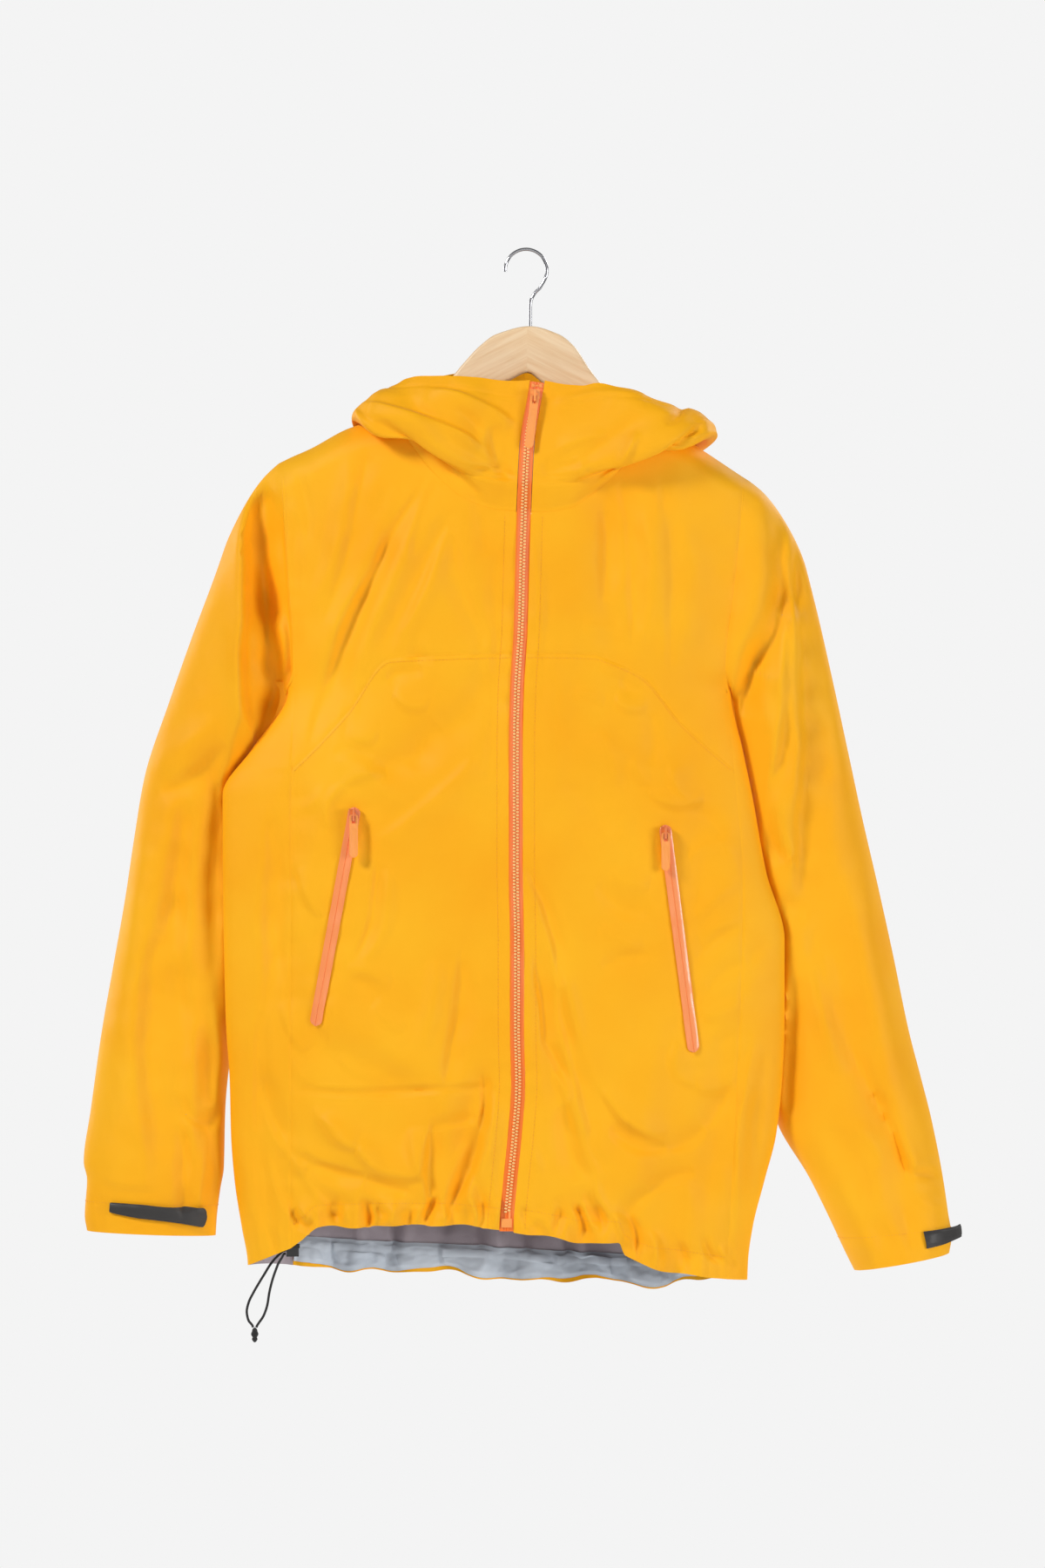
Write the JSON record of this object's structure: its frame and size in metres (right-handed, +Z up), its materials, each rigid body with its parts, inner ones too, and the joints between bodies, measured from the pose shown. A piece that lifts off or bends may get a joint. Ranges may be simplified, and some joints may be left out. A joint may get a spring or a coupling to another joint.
{
  "type": "rain jacket on a hanger",
  "caption": "Hooded rain jacket with a full-length front zip and slanted pocket zips, hanging on a flat wooden hanger with a wire hook.",
  "frame": {"origin": "the top of the inside of the hook's bend, where the hook bears on what it hangs from", "axes": "+Z up, +X towards the wearer's left, -Y towards the front of the jacket"},
  "size_m": [0.7582, 0.1565, 0.9414],
  "materials": {
    "yellow_shell": "matt woven shell",
    "charcoal_tab": "matt",
    "grey_tape": "satin tape",
    "orange_zip": "glossy coated tape",
    "pale_orange_pull": "glossy moulding",
    "black_cord": "braided",
    "black_plastic": "satin",
    "beech": "clear satin lacquer",
    "chrome": "polished"
  },
  "bodies": {
    "jacket": {"back_panel": "yellow_shell", "back_yoke": "yellow_shell", "cord_knot": "black_cord", "cord_lock": "black_plastic", "cuff_tab_left": "charcoal_tab", "cuff_tab_right": "charcoal_tab", "front_left": "yellow_shell", "front_right": "yellow_shell", "front_yoke_left": "yellow_shell", "front_yoke_right": "yellow_shell", "front_zip": "orange_zip", "front_zip_slider": "pale_orange_pull", "hanger_body": "beech", "hanger_hook": "chrome", "hem_cord_front": "black_cord", "hem_cord_rear": "black_cord", "hem_tape": "grey_tape", "hood_left": "yellow_shell", "hood_right": "yellow_shell", "pocket_slider_left": "pale_orange_pull", "pocket_slider_right": "pale_orange_pull", "pocket_zip_left": "orange_zip", "pocket_zip_right": "orange_zip", "side_left": "yellow_shell", "side_right": "yellow_shell", "sleeve_left": "yellow_shell", "sleeve_right": "yellow_shell"},
    "front_pull": {"front_zip_pull": "pale_orange_pull"},
    "left_pocket_pull": {"pocket_pull_left": "pale_orange_pull"},
    "right_pocket_pull": {"pocket_pull_right": "pale_orange_pull"}
  },
  "joints": [
    {"name": "front_pull_swing", "type": "hinge", "parent": "jacket", "child": "front_pull", "pos_m": [0.00827, -0.05298, -0.12822], "axis": [1, 0, 0], "range_deg": [-150, 0]},
    {"name": "left_pocket_pull_swing", "type": "hinge", "parent": "jacket", "child": "left_pocket_pull", "pos_m": [0.11987, -0.04604, -0.50079], "axis": [1, 0, 0], "range_deg": [-150, 0]},
    {"name": "right_pocket_pull_swing", "type": "hinge", "parent": "jacket", "child": "right_pocket_pull", "pos_m": [-0.14619, -0.04699, -0.48551], "axis": [1, 0, 0], "range_deg": [-150, 0]}
  ]
}
